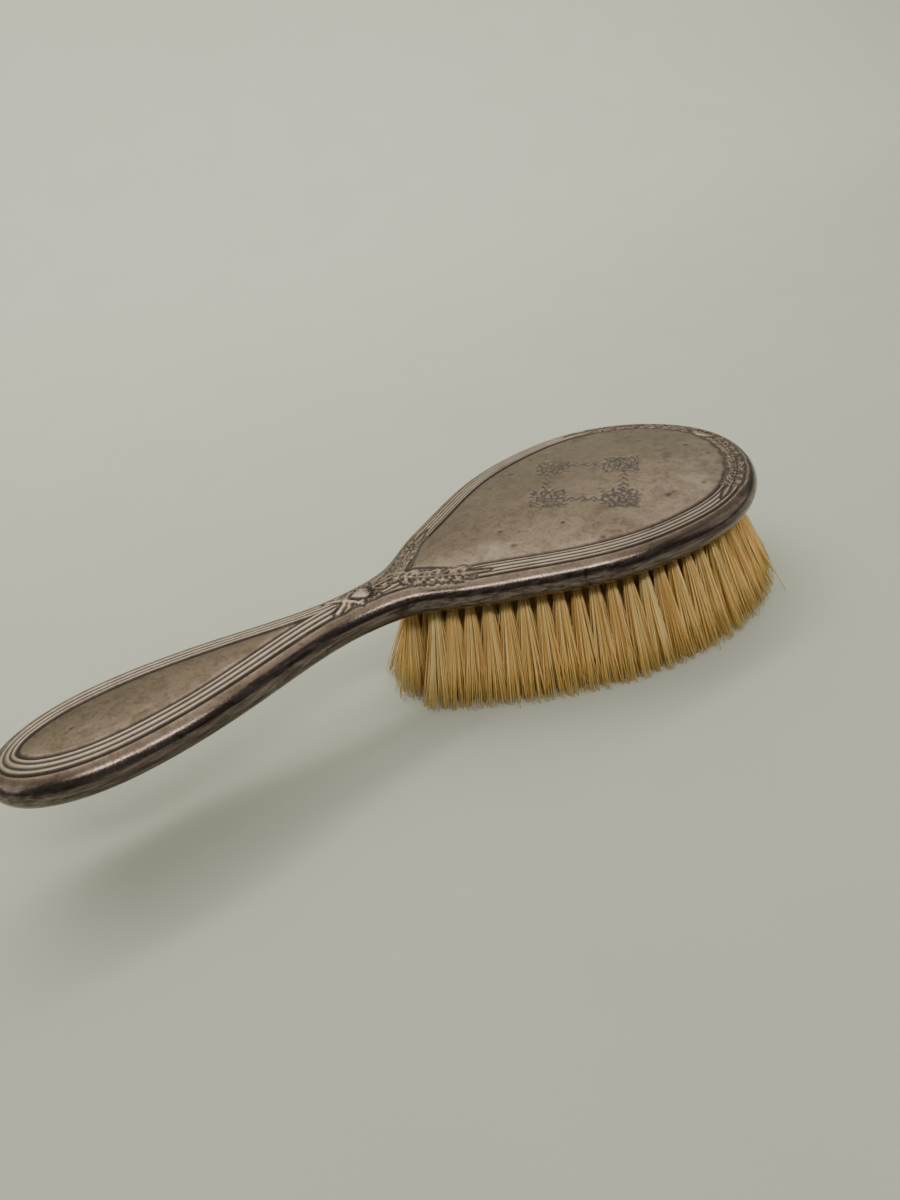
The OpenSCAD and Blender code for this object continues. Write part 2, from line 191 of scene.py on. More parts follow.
# ---------------------------------------------------------------- objects from meshes
def new_object(name, verts, faces, sharp=50):
    """A smooth shaded mesh object, with edges over the angle sharp, in degrees, kept hard."""
    mesh = bpy.data.meshes.new(name)
    mesh.from_pydata(np.asarray(verts).tolist(), [], faces)
    mesh.validate()
    mesh.polygons.foreach_set("use_smooth", [True] * len(mesh.polygons))
    if sharp:
        mesh.set_sharp_from_angle(angle=math.radians(sharp))
    mesh.update()
    obj = bpy.data.objects.new(name, mesh)
    bpy.context.scene.collection.objects.link(obj)
    return obj


# ---------------------------------------------------------------- ornament on the back
GROOVE_OUT, GROOVE_IN = 3.8, 8.7        # offsets of the grooves on both sides of the border
TOE_X = 212.0           # the toe ornament starts here


def curve(points, n=14):
    """A smooth line through a few points."""
    p = np.asarray(points, float)
    if len(p) == 2:
        return resample(p, n)
    ext = np.concatenate([[2 * p[0] - p[1]], p, [2 * p[-1] - p[-2]]])
    out = []
    for k in range(1, len(ext) - 2):
        a, b, c, d = ext[k - 1:k + 3]
        t = np.linspace(0, 1, 8, endpoint=False)[:, None]
        out.append(0.5 * (2 * b + (c - a) * t + (2 * a - 5 * b + 4 * c - d) * t ** 2
                          + (3 * b - a - 3 * c + d) * t ** 3))
    out.append(p[-1:])
    return resample(np.concatenate(out), n)


strokes = []            # raised lines: (points, half widths along them, height)


def leaf(points, width, height):
    """A stroke that is widest before its middle."""
    line = curve(points)
    t = np.linspace(0, 1, len(line))
    strokes.append((line, width * np.sin(np.pi * np.clip(t, 0.04, 0.97) ** 0.7), height))


def stem(points, w0, w1, height):
    """A stroke that tapers from half width w0 to w1."""
    line = curve(points, 20)
    strokes.append((line, np.linspace(w0, w1, len(line)), height))


def boss(x, y, radius, height):
    """A round bead, as a very short stroke."""
    strokes.append((np.array([[x - 0.01, y], [x + 0.01, y]]), np.full(2, radius), height))


def both_sides(make, points, *rest):
    """A stroke and its mirror image."""
    make(points, *rest)
    make([(x, -y) for x, y in points], *rest)


def offset_line(e, x0, x1, n):
    """Points at offset e from the outline, between two places along it."""
    d = np.gradient(FINE, axis=0)
    d /= np.linalg.norm(d, axis=1, keepdims=True)
    q = FINE + e * np.stack([d[:, 1], -d[:, 0]], 1)
    return resample(q[(FINE[:, 0] >= x0) & (FINE[:, 0] <= x1)], n)


def spray(line, reach, pitch, height, seed):
    """Leaves and curls that leave a line to both sides, leaning along it."""
    r = np.random.default_rng(seed)
    length = np.linalg.norm(np.diff(line, axis=0), axis=1).sum()
    p = resample(line, max(2, int(length / 0.4)))
    d = np.gradient(p, axis=0)
    d /= np.linalg.norm(d, axis=1, keepdims=True)
    count = int(length / pitch)
    for k in range(count):
        i = int((k + 0.35) / count * (len(p) - 1))
        for side in (1, -1):
            along = d[i]
            out = side * np.array([-d[i][1], d[i][0]])
            size = reach * (0.8 + 0.35 * r.random())
            lean = pitch * (0.9 + 0.6 * r.random())
            a = p[i] + 0.2 * out
            b = a + 0.55 * size * out + 0.4 * lean * along
            c = a + 1.0 * size * out + 1.1 * lean * along
            if (k + (side > 0)) % 2:
                leaf([a, b, c], 0.22 * size, height)
                leaf([b, b + 0.2 * size * out - 0.5 * lean * along,
                      b + 0.5 * size * out - 0.3 * lean * along], 0.15 * size, 0.8 * height)
            else:
                hook = c - 0.1 * size * out + 0.35 * pitch * along
                curl = hook - 0.5 * size * out + 0.1 * pitch * along
                stem([a, b, hook, curl], 0.15 * size, 0.11 * size, height)
                boss(curl[0], curl[1], 0.2 * size, height * 1.1)
    stem(p[::4], 0.34, 0.26, height)


# the ribbon tied over the two bundles of reeds at the neck
both_sides(stem, [(92.0, 3.4), (94.6, 1.7), (96.4, -0.4), (98.2, -2.4), (99.4, -3.9)],
           0.85, 0.6, 0.62)
both_sides(leaf, [(96.8, 0.8), (95.6, 3.0), (93.2, 4.2)], 0.75, 0.5)
boss(96.0, 0.0, 1.35, 0.85)
# the fan under it, with a row of beads
for k in range(-3, 4):
    a = math.radians(16 * k)
    leaf([(98.4, 0.12 * k), (101.4, 2.6 * math.sin(a)),
          (104.4 - 0.12 * k * k, 3.225 * math.sin(a))], 0.55, 0.6)
for x, y in ((99.9, 2.9), (101.5, 3.45), (103.2, 3.7), (104.9, 3.5)):
    boss(x, y, 0.66, 0.55)
    boss(x, -y, 0.66, 0.55)
# foliage on the middle line, and its two arms along the heel
spray(curve([(104.6, 0), (110, 0), (115.6, 0)], 30), 2.2, 1.75, 0.46, 3)
for k in (1, -1):
    arm = curve([(112.4, 0.6 * k), (116.0, 4.2 * k), (120.0, 7.3 * k), (123.8, 10.3 * k),
                 (127.6, 12.9 * k)], 40)
    spray(arm, 2.6, 1.7, 0.46, 5 if k > 0 else 6)
    stem([(127.0, 12.5 * k), (130.0, 14.3 * k), (133.5, 16.3 * k)], 0.8, 0.12, 0.42)
# the toe ornament: scrolled arms that meet in a fan
toe = offset_line((GROOVE_OUT + GROOVE_IN + 0.2) / 2, TOE_X + 1.5, 239.3, 60)
for k in (1, -1):
    arm = toe * (1, k)
    spray(arm, 2.35, 1.9, 0.44, 8 if k > 0 else 9)
    start, ahead = arm[0], arm[0] - arm[2]
    ahead = ahead / np.linalg.norm(ahead)
    stem([start + 1.5 * ahead, start - 1 * ahead], 0.3, 0.5, 0.4)
    leaf([start, start + 4 * ahead, start + 8.5 * ahead], 0.9, 0.4)
for k in range(-3, 4):
    a = math.radians(24 * k)
    leaf([(230.8, 0.2 * k), (233.4 - 0.1 * k * k, 2.1 * math.sin(a) + 0.3 * k),
          (236.2 - 0.22 * k * k, 4.2 * math.sin(a) + 0.3 * k)], 0.62, 0.6)

# the engraved wreath: a square ring set cornerwise, leafy at its corners
engraved = []           # cut lines: (points, half width, depth)
WREATH_AT = np.array([182.9, 0.9])
WREATH_HALF = 11.4      # half the ring's side
# turns the ring by 45 degrees and makes it slightly wider than long
ACROSS = np.array([1.0, 1.06]) * math.sqrt(0.5)
CORNER_FROM, CORNER_STEP, CORNER_SIDE = 5.9, 1.34, 8    # grid of the cuts in a corner
CORNER_R = 5.0          # past this distance from the corner's middle the cuts thin out
SIDE_STEP, SIDE_CUTS = 1.6, 7                           # cuts along a side of the ring
wreath_rng = np.random.default_rng(21)


def wreath_point(a, b):
    """A place given in the ring's own square frame."""
    return WREATH_AT + ACROSS * np.array([a - b, a + b])


def sprig(a, b, turn):
    """A short bent cut at a place in the ring's frame."""
    r = wreath_rng
    h = r.uniform(0.55, 0.95) * np.array([math.cos(turn), math.sin(turn)])
    bow = r.choice([-0.3, 0.3]) * np.array([-h[1], h[0]])
    c = wreath_point(a, b)
    width = r.uniform(0.26, 0.38)
    engraved.append((curve([c - h, c + bow, c + h], 8), width, r.uniform(0.14, 0.22)))


for ca, cb in ((1, 1), (1, -1), (-1, -1), (-1, 1)):
    for i in range(CORNER_SIDE):
        for j in range(CORNER_SIDE):
            a, b = CORNER_FROM + CORNER_STEP * i, CORNER_FROM + CORNER_STEP * j
            off = max(0, math.hypot(a - WREATH_HALF, b - WREATH_HALF) - CORNER_R)
            if wreath_rng.random() < 1.0 - 0.22 * off:
                jog = wreath_rng.normal(0, 0.25, 2)
                sprig(ca * (a + jog[0]), cb * (b + jog[1]), wreath_rng.uniform(0, math.pi))
for quarter in range(4):
    for k in range(SIDE_CUTS):
        for row in (-0.7, 0.9) if k % 2 else (0.1,):
            a, b = SIDE_STEP * (k - (SIDE_CUTS - 1) / 2), WREATH_HALF + row
            for _ in range(quarter):
                a, b = -b, a
            sprig(a, b, (quarter + 0.5) * math.pi / 2 + (0.7 if row > 0 else -0.7))

# dents and pits from use: x, y, radius, depth
PITS = [(172, 25, 0.9, 0.3), (161, 21.5, 0.6, 0.22), (161.8, -13.4, 0.7, 0.22),
        (154, 19, 0.6, 0.15), (194, -23.5, 0.9, 0.26), (196, -23.4, 0.6, 0.2),
        (206.5, -25.5, 0.6, 0.16), (221.6, -4.0, 0.8, 0.26), (222, -12.8, 0.7, 0.2),
        (144.5, -12.5, 0.7, 0.2), (146, -4, 0.8, 0.2), (128, 4, 0.5, 0.14), (150, -8, 0.6, 0.15),
        (135, 3, 0.45, 0.12), (165, -27, 0.6, 0.2), (21.5, 0.3, 0.6, 0.2), (24.0, -2.6, 0.7, 0.14),
        (45, 4, 0.6, 0.1), (57, -3.5, 0.5, 0.1), (38, -6, 0.6, 0.1), (214, 10, 0.7, 0.12),
        (203, 22, 0.6, 0.12), (178, -33, 0.5, 0.12), (207, -38, 0.7, 0.3), (215, -36, 0.6, 0.25)]


def near_line(points, line, width, margin):
    """Which points lie near a line, their distance to it and its half width there."""
    reach = np.max(width) + margin
    lo, hi = line.min(0) - reach, line.max(0) + reach
    near = np.flatnonzero(((points > lo) & (points < hi)).all(1))
    if not len(near):
        return near, None, None
    q = points[near][:, None]
    a, b = line[None, :-1], line[None, 1:]
    ab = b - a
    t = np.clip(((q - a) * ab).sum(2) / ((ab * ab).sum(2) + 1e-12), 0, 1)
    d = np.linalg.norm(q - a - t[..., None] * ab, axis=2)
    k = d.argmin(1)
    row = np.arange(len(near))
    w = np.broadcast_to(width, len(line))
    return near, d[row, k], w[k] + t[row, k] * (w[k + 1] - w[k])


def reeding(u, count):
    """Rounded reeds side by side over 0..1."""
    inside = (u > 0) & (u < 1)
    return np.where(inside, np.abs(np.sin(np.pi * count * np.clip(u, 0, 1))) ** 0.75, 0)


# at the heel the panel's groove runs to a point under the foliage
V_LINE = [(116.6, 0.0), (118.0, 1.0), (120.2, 2.9), (122.6, 5.2), (125.4, 8.4), (129.6, 12.9)]


def back_relief(x, y, e, half):
    """Height over the plain back and how dark the tarnish is, at points at offset e."""
    side = np.abs(y)
    points = np.stack([x, y], 1)
    # the border's grooves swing in and out along the toe ornament
    on_toe = step_up(TOE_X, TOE_X + 2.5, x)
    wave = np.abs(np.sin(np.pi * (side - 1.5) / 5.6)) * on_toe
    g_out = GROOVE_OUT - 0.5 * wave
    g_in = np.where(x > 110, GROOVE_IN + 0.2, GROOVE_IN) + 0.8 * wave
    # where the border is reeded: the handle, the neck and the sides of the head
    handle = 1 - step_up(92.5, 94.5, x)
    neck = step_up(98.5, 100, x) * (1 - step_up(114, 117, x))
    head = step_up(126.5, 129.5, x) * (1 - on_toe)
    u = (e - g_out) / (g_in - g_out)
    u_neck = (e - GROOVE_OUT) / np.maximum(0.6, half - 3.0 - GROOVE_OUT)
    # each run's share here, its place across, its number of reeds and their height
    runs = ((handle, u, 3, 0.42), (head, u, 4, 0.36), (neck, u_neck, 2, 0.3))
    h = np.zeros(len(x))
    for on, across, count, rise in runs:
        h += rise * on * (reeding(across, count) - 0.35) * ((across > 0) & (across < 1))
    outer = bump(e, g_out, 0.36)
    inner = bump(e, g_in, 0.5) * np.where(x < 94, 1, step_up(125, 128, x))
    dark = np.maximum(outer * 0.95, inner)
    h = h - 0.34 * outer - 0.46 * inner
    # grooves between the reeds
    for on, across, count, _ in runs:
        for k in range(1, count):
            dark = np.maximum(dark, on * 0.85 * bump(across * count, k, 0.2))
    for k in (1, -1):
        line = curve(np.array(V_LINE) * (1, k), 30)
        near, d, _ = near_line(points, line, 0.5, 1.2)
        h[near] -= 0.45 * bump(d, 0, 0.5)
        dark[near] = np.maximum(dark[near], bump(d, 0, 0.55))
    cover = np.zeros(len(x))        # height of the ornament
    ground = np.zeros(len(x))       # 1 on it and close round it, where the ground is lower
    for line, width, height in strokes:
        near, d, w = near_line(points, line, width, 1.3)
        if not len(near):
            continue
        w = np.maximum(w, 0.05)
        cover[near] = np.maximum(cover[near], height * np.sqrt(np.clip(1 - (d / w) ** 2, 0, 1)))
        ground[near] = np.maximum(ground[near], bump(np.maximum(0, d - w), 0, 0.6))
    full = step_up(0.3, 0.8, ground)
    h = h * (1 - full) + full * (cover - 0.3)
    dark = np.maximum(dark * (1 - full), full * (1 - np.clip(cover / 0.26, 0, 1)))
    for line, width, depth in engraved:
        near, d, _ = near_line(points, line, width, 0.6)
        if not len(near):
            continue
        g = bump(d, 0, width * 1.15)
        h[near] = h[near] - depth * g
        dark[near] = np.maximum(dark[near], 0.9 * g)
    for px, py, radius, depth in PITS:
        g = bump(np.hypot(x - px, (y - py) * 1.2), 0, 1.2 * radius)
        h -= depth * g
        dark = np.maximum(dark, np.clip(depth / 0.22, 0, 1) * g)
    return h, np.clip(dark, 0, 1)


def long_waves(x, y):
    """The slight unevenness of thin metal after years of use."""
    return (0.05 * np.sin(x / 9.1 + y / 7.3) + 0.045 * np.sin(x / 5.7 - y / 11.9 + 1.3)
            + 0.03 * np.sin(x / 3.9 + y / 3.1 + 0.4))


# distance between stations in mm along the back: closer at the ornament and the wreath
BACK_SPACING = [(0, 1.2), (84, 1.2), (92, 0.6), (133, 0.6), (140, 0.9), (152, 0.9), (160, 0.42),
                (206, 0.42), (212, 0.6), (240, 0.6)]


BAND_E, EDGE_E = 9.6, 2.9       # the fine rows of points along the border lie between these
BAND_ROWS = 28


def back_plate():
    """The chain of points at each station, from the middle line out, round and back inside.

    Gives the outer points, their heights, the relief of both sides, how much of it each
    row takes, how far each row is down the roll, and the inner points.
    """
    st = Stations(BACK_SPACING)
    reach_e = st.reach * st.cos
    e_band = np.minimum(BAND_E, 0.93 * reach_e)
    # closer together where the wreath is
    fracs = np.concatenate([np.linspace(1, 0.3, 48), np.linspace(0.3, 0, 15)[1:-1]])
    outer, offsets = [], []
    for f in fracs:
        outer.append(st.toward(e_band, f))
        offsets.append(e_band + f * (reach_e - e_band))
    for k in range(BAND_ROWS + 1):
        e = e_band + (EDGE_E - e_band) * k / BAND_ROWS
        outer.append(st.at(e))
        offsets.append(e)
    heights = [dome(st.x, e, reach_e) for e in offsets]
    # from there on the rows lie at even angles round the roll, down to the seam
    start = math.degrees(math.acos(1 - EDGE_E / EDGE_R))
    angles = np.linspace(start, -SEAM_A + SEAM_GAP, 15)[1:]
    for a in np.radians(angles):
        e = np.full(st.n, EDGE_R * (1 - math.cos(a)))
        outer.append(st.at(e))
        offsets.append(e)
        heights.append(np.full(st.n, EDGE_R * math.sin(a)))
    xy = np.stack(outer, 1)
    z = np.stack(heights, 1)
    x, y = xy.reshape(-1, 2).T
    e = np.stack(offsets, 1).reshape(-1)
    half = np.interp(x, FINE[:, 0], FINE[:, 1])
    panel = np.clip((e - 5) / 6, 0, 1)
    reliefs = []
    for side in (1, -1):
        h, dark = back_relief(x, side * y, e, half)
        h += long_waves(x, side * y) * panel
        reliefs.append((h.reshape(z.shape), dark.reshape(z.shape)))
    # no relief low on the roll, which is smoother than the top and painted darker, a painted dark
    # reflection with tarnish streaks
    fade = np.ones(len(outer))
    fade[-len(angles):] = np.clip((angles - start + 24) / 24, 0, 1)
    roll = np.zeros(len(outer))
    roll[-len(angles):] = np.clip((60 - angles) / 45, 0, 1)
    # the inside, which the board and the fillings hide, is plain
    inner = []
    for a in np.radians([-SEAM_A + SEAM_GAP, -5, 30]):
        q = st.at(EDGE_R - (EDGE_R - SKIN) * math.cos(a))
        inner.append(np.c_[q, np.full(st.n, (EDGE_R - SKIN) * math.sin(a))])
    for offset in (5.2, 9.2):
        e_in = np.minimum(offset, 0.9 * reach_e)
        inner.append(np.c_[st.at(e_in), dome(st.x, e_in, reach_e) - SKIN - 0.5])
    for f in (0.5, 1):
        here = e_in + f * (reach_e - e_in)
        inner.append(np.c_[st.toward(e_in, f), dome(st.x, here, reach_e) - SKIN - 0.35])
    return xy, z, reliefs, fade, roll, np.stack(inner, 1)


def pair_up(y):
    """Which points lie on the middle line, and both halves' numbers, which are the same there."""
    flat = np.abs(y) < 1e-6
    first = np.arange(flat.size).reshape(flat.shape)
    return flat, (first, np.where(flat, first, first + flat.size))


def build_back():
    """Both halves share the middle line; their reliefs differ, so each gets its own chain."""
    xy, z, reliefs, fade, roll, inner = back_plate()
    halves = []
    for side, (h, _) in zip((1, -1), reliefs):
        top = np.dstack([xy[..., 0], side * xy[..., 1], z + h * fade])
        halves.append(np.concatenate([top, inner * (1, side, 1)], 1))
    # on the middle line both halves take the first one's height
    flat, pair = pair_up(halves[0][..., 1])
    pad = np.zeros(inner.shape[:2])

    def on_points(k):
        return np.concatenate([np.concatenate([r[k] * fade, pad], 1).reshape(-1)
                               for r in reliefs])

    edge = np.concatenate([np.tile(roll, (len(z), 1)), pad + 1], 1).reshape(-1)
    return grid_object("back_plate", np.concatenate(halves).reshape(-1, 3), pair, flat,
                       {"dark": on_points(1), "lift": on_points(0), "edge": np.tile(edge, 2)})


def grid_object(name, points, pair, flat, attributes, open_from=None, ring=False, sharp=50):
    """Skin over the chains of both halves.

    With ring the chain's ends join at every station, with open_from they join from that
    station on. Where a face touches the middle line it is split in two triangles.
    """
    m = flat.shape[1]
    faces = []
    for s, ids in enumerate(pair):
        spans = [(j, j + 1, 0) for j in range(m - 1)] + ([(m - 1, 0, 0)] if ring else [])
        if open_from is not None:
            spans.append((m - 1, 0, open_from))
        for j, k, start in spans:
            here, ahead = slice(start, -1), slice(start + 1, None)
            corners = ((here, j), (here, k), (ahead, k), (ahead, j))
            p, q, r, t = (ids[c] for c in corners)
            on = [flat[c] for c in corners]
            touch = on[0] | on[1] | on[2] | on[3]
            cross = on[0] & on[2]
            for rows, pick in (((p, q, r, t), ~touch), ((p, q, r), touch & ~cross),
                               ((p, r, t), touch & ~cross), ((p, q, t), cross), ((q, r, t), cross)):
                f = np.stack(rows, 1)[pick]
                faces += (f if s == 0 else f[:, ::-1]).tolist()
    faces = [f for f in faces if len(set(f)) == len(f)]
    used = np.zeros(len(points), bool)
    used[np.unique(np.concatenate([np.ravel(f) for f in faces]))] = True
    index = np.cumsum(used) - 1
    obj = new_object(name, to_row(points[used]), [[int(index[v]) for v in f] for f in faces],
                     sharp=sharp)
    for key, values in attributes.items():
        obj.data.attributes.new(key, "FLOAT", "POINT").data.foreach_set("value", values[used])
    return obj


def mirrored(name, chain, **options):
    """grid_object for a chain that is the same on both sides."""
    flat, pair = pair_up(chain[..., 1])
    points = np.concatenate([chain, chain * (1, -1, 1)]).reshape(-1, 3)
    return grid_object(name, points, pair, flat, **options)


PLAIN_SPACING = [(0, 1.3)]
SEAM_BACK, SEAM_TRIM = 0.06, 0.2        # millimetres, degrees
FAR = 99.0              # an offset that is past the middle line everywhere


def build_under():
    """The under shell, closed under the handle and open under the head."""
    st = Stations(PLAIN_SPACING)
    r0, r1 = EDGE_R, EDGE_R - SKIN
    is_open = st.x > X_OPEN
    arc = np.sqrt(np.clip(OPEN_R ** 2 - (X_OPEN + OPEN_R - st.x) ** 2, 0, None))
    arc = np.where(st.x < X_OPEN + OPEN_R, arc, FAR)
    e_open = np.maximum(LIP_E, (st.p[:, 1] - arc) * np.abs(st.normal[:, 1]))
    e_open = np.where(is_open, e_open, FAR)
    belly = np.where(is_open, 0, -BELLY)
    chain = []

    def middle(f, r):
        """The level part, at share f of the way in to the opening or to the middle line."""
        lip = st.at(EDGE_R + f * (np.minimum(e_open, st.reach * st.cos) - EDGE_R))
        q = np.where(is_open[:, None], lip, st.toward(EDGE_R, f))
        return np.c_[q, -r + belly * (1 - (1 - f) ** 2)]

    for f in (1, 0.75, 0.5, 0.25):
        chain.append(middle(f, r0))
    for a in np.radians([88, 80, 70, 60, 50, 43, SEAM_A + SEAM_GAP]):
        chain.append(np.c_[st.at(r0 * (1 - math.cos(a))), np.full(st.n, -r0 * math.sin(a))])
    for a in np.radians([SEAM_A + SEAM_GAP, 52, 70, 88]):
        chain.append(np.c_[st.at(r0 - r1 * math.cos(a)), np.full(st.n, -r1 * math.sin(a))])
    for f in (0.5, 1):
        chain.append(middle(f, r1))
    chain = np.stack(chain, 1)[:, ::-1]
    first_open = int(np.flatnonzero(is_open)[0]) - 1
    # the whole under shell takes the lower roll's colour: tarnish streaks over painted dark shade
    everywhere = np.ones(2 * chain.shape[0] * chain.shape[1])
    return mirrored("under_plate", chain, open_from=first_open, sharp=40,
                    attributes={"edge": everywhere})


def build_seam():
    """The solder, set slightly back from the shells' surfaces and edges."""
    st = Stations(PLAIN_SPACING)
    r0, r1 = EDGE_R - SEAM_BACK, EDGE_R - SKIN + SEAM_BACK
    half = SEAM_GAP - SEAM_TRIM
    a0, a1 = math.radians(SEAM_A - half), math.radians(SEAM_A + half)
    chain = [np.c_[st.at(EDGE_R - r * math.cos(a)), np.full(st.n, -r * math.sin(a))]
             for r, a in ((r0, a0), (r0, a1), (r1, a1), (r1, a0))]
    return mirrored("seam_band", np.stack(chain, 1), attributes={}, ring=True, sharp=40)


# ---------------------------------------------------------------- bristles
PER_TUFT = 125
HAIR_R0, HAIR_R1 = 0.13, 0.105          # radius of a bristle at its root and its tip
BASE_R, SUNK = 0.82, 0.6                # radius of a tuft in its hole, and how deep it starts
TIP_SPREAD = 1.9        # how far the tips open past the part's own tuft, over its radius
HEEL_SPREAD, HEEL_FADE = 0.5, 20        # more at the first tufts, fading along the brush
X_FIRST_TUFT = 115.4
GOLDEN_ANGLE = 2.39996
STRAY_SHARE, LONG_SHARE = 0.05, 0.06    # bristles that stand out, and that end higher up
RINGS, SIDES = 4, 3     # rings of points along a bristle, and points in a ring


def tufts_of(node):
    """The points of each tuft of a row, from its CAD solids."""
    mesh = nodes[node].data
    co = np.zeros(len(mesh.vertices) * 3)
    mesh.vertices.foreach_get("co", co)
    # faces repeat the points that they share, so points are told apart by place
    _, index, same = np.unique(np.round(co.reshape(-1, 3), 6), axis=0, return_index=True,
                               return_inverse=True)
    same = same.reshape(-1)
    parent = list(range(len(index)))

    def root(a):
        while parent[a] != a:
            parent[a] = parent[parent[a]]
            a = parent[a]
        return a

    for edge in mesh.edges:
        a, b = root(same[edge.vertices[0]]), root(same[edge.vertices[1]])
        parent[a] = b
    groups = {}
    for v in range(len(index)):
        groups.setdefault(root(v), []).append(index[v])
    return [co.reshape(-1, 3)[ids] for ids in groups.values()]


def tuft_axes(node):
    """For each tuft: the middle of its base on the board, of its tip, and its tip's radius."""
    out = []
    for p in tufts_of(node):
        c = p.mean(0)
        _, _, v = np.linalg.svd(p - c, full_matrices=False)
        t = (p - c) @ v[0] * (1 if v[0][2] < 0 else -1)
        # the points within 0.2 mm of each end
        tip, top = p[t > t.max() - 2e-4], p[t < t.min() + 2e-4]
        tip_c, top_c = tip.mean(0), top.mean(0)
        axis = (tip_c - top_c) / np.linalg.norm(tip_c - top_c)
        base_c = tip_c + axis * (BOARD_Z - tip_c[2]) / axis[2]
        out.append((base_c, tip_c, axis, np.linalg.norm(tip - tip_c, axis=1).max()))
    return sorted(out, key=lambda q: (round(q[0][0], 5), round(q[0][1], 5)))


def square_to(axis):
    """Two directions square to an axis."""
    e = np.cross(axis, (0, 1, 0))
    e /= np.linalg.norm(e)
    return e, np.cross(axis, e)


def build_bristles(node, name, seed):
    """One row's bristles, tuft by tuft, each trimmed just over the floor."""
    r = np.random.default_rng(seed)
    verts, faces, tone, along = [], [], [], []
    ring = [(math.cos(2 * math.pi * k / SIDES), math.sin(2 * math.pi * k / SIDES))
            for k in range(SIDES)]
    for base, tip, axis, r1 in tuft_axes(node):
        e1, e2 = square_to(axis)
        tuft_tone = r.normal(0, 0.06)
        past_heel = max(0, base[0] * 1000 - X_END - X_FIRST_TUFT)
        wide = TIP_SPREAD + HEEL_SPREAD * math.exp(-past_heel / HEEL_FADE)
        for k in range(PER_TUFT):
            rad = math.sqrt((k + 0.5) / PER_TUFT)
            ang = k * GOLDEN_ANGLE + r.normal(0, 0.25)
            u, v = rad * math.cos(ang), rad * math.sin(ang)
            stray = r.random() < STRAY_SHARE
            spread = r.normal(0, 0.28 if stray else 0.1, 2)
            b = base + (BASE_R * (u * e1 + v * e2) - axis * SUNK) * 1e-3
            t = tip + r1 * wide * ((u + spread[0]) * e1 + (v + spread[1]) * e2)
            # the height that it is trimmed at
            level = r.uniform(0.05, 0.9) * 1e-3 + (r.random() < LONG_SHARE) * r.uniform(0, 2.5e-3)
            t = b + (t - b) * (b[2] - level) / (b[2] - t[2])
            bow = r.normal(0, 0.45 if stray else 0.25, 2) * 1e-3
            f1, f2 = square_to((t - b) / np.linalg.norm(t - b))
            turn = r.random() * 2 * math.pi
            shade = float(np.clip(0.55 + tuft_tone + r.normal(0, 0.24), 0, 1))
            thick = r.uniform(0.8, 1.25) * 1e-3
            start = len(verts)
            for q in range(RINGS):
                s = q / (RINGS - 1)
                # straight from root to tip, but for a slight bow
                p = b + (t - b) * s + (bow[0] * f1 + bow[1] * f2) * math.sin(math.pi * s)
                w = thick * (HAIR_R0 + (HAIR_R1 - HAIR_R0) * s)
                for c, sn in ring:
                    ca = c * math.cos(turn) - sn * math.sin(turn)
                    sa = c * math.sin(turn) + sn * math.cos(turn)
                    verts.append(p + w * (ca * f1 + sa * f2))
                    tone.append(shade)
                    along.append(s)
            for q in range(RINGS - 1):
                for c in range(SIDES):
                    a0 = start + SIDES * q + c
                    a1 = start + SIDES * q + (c + 1) % SIDES
                    faces.append((a0, a0 + SIDES, a1 + SIDES, a1))
            faces.append(tuple(range(start, start + SIDES)))
            last = start + SIDES * (RINGS - 1)
            faces.append((last, *range(last + SIDES - 1, last, -1)))
    obj = new_object(name, verts, faces, sharp=None)
    obj.data.attributes.new("tone", "FLOAT", "POINT").data.foreach_set("value", tone)
    obj.data.attributes.new("along", "FLOAT", "POINT").data.foreach_set("value", along)
    return obj


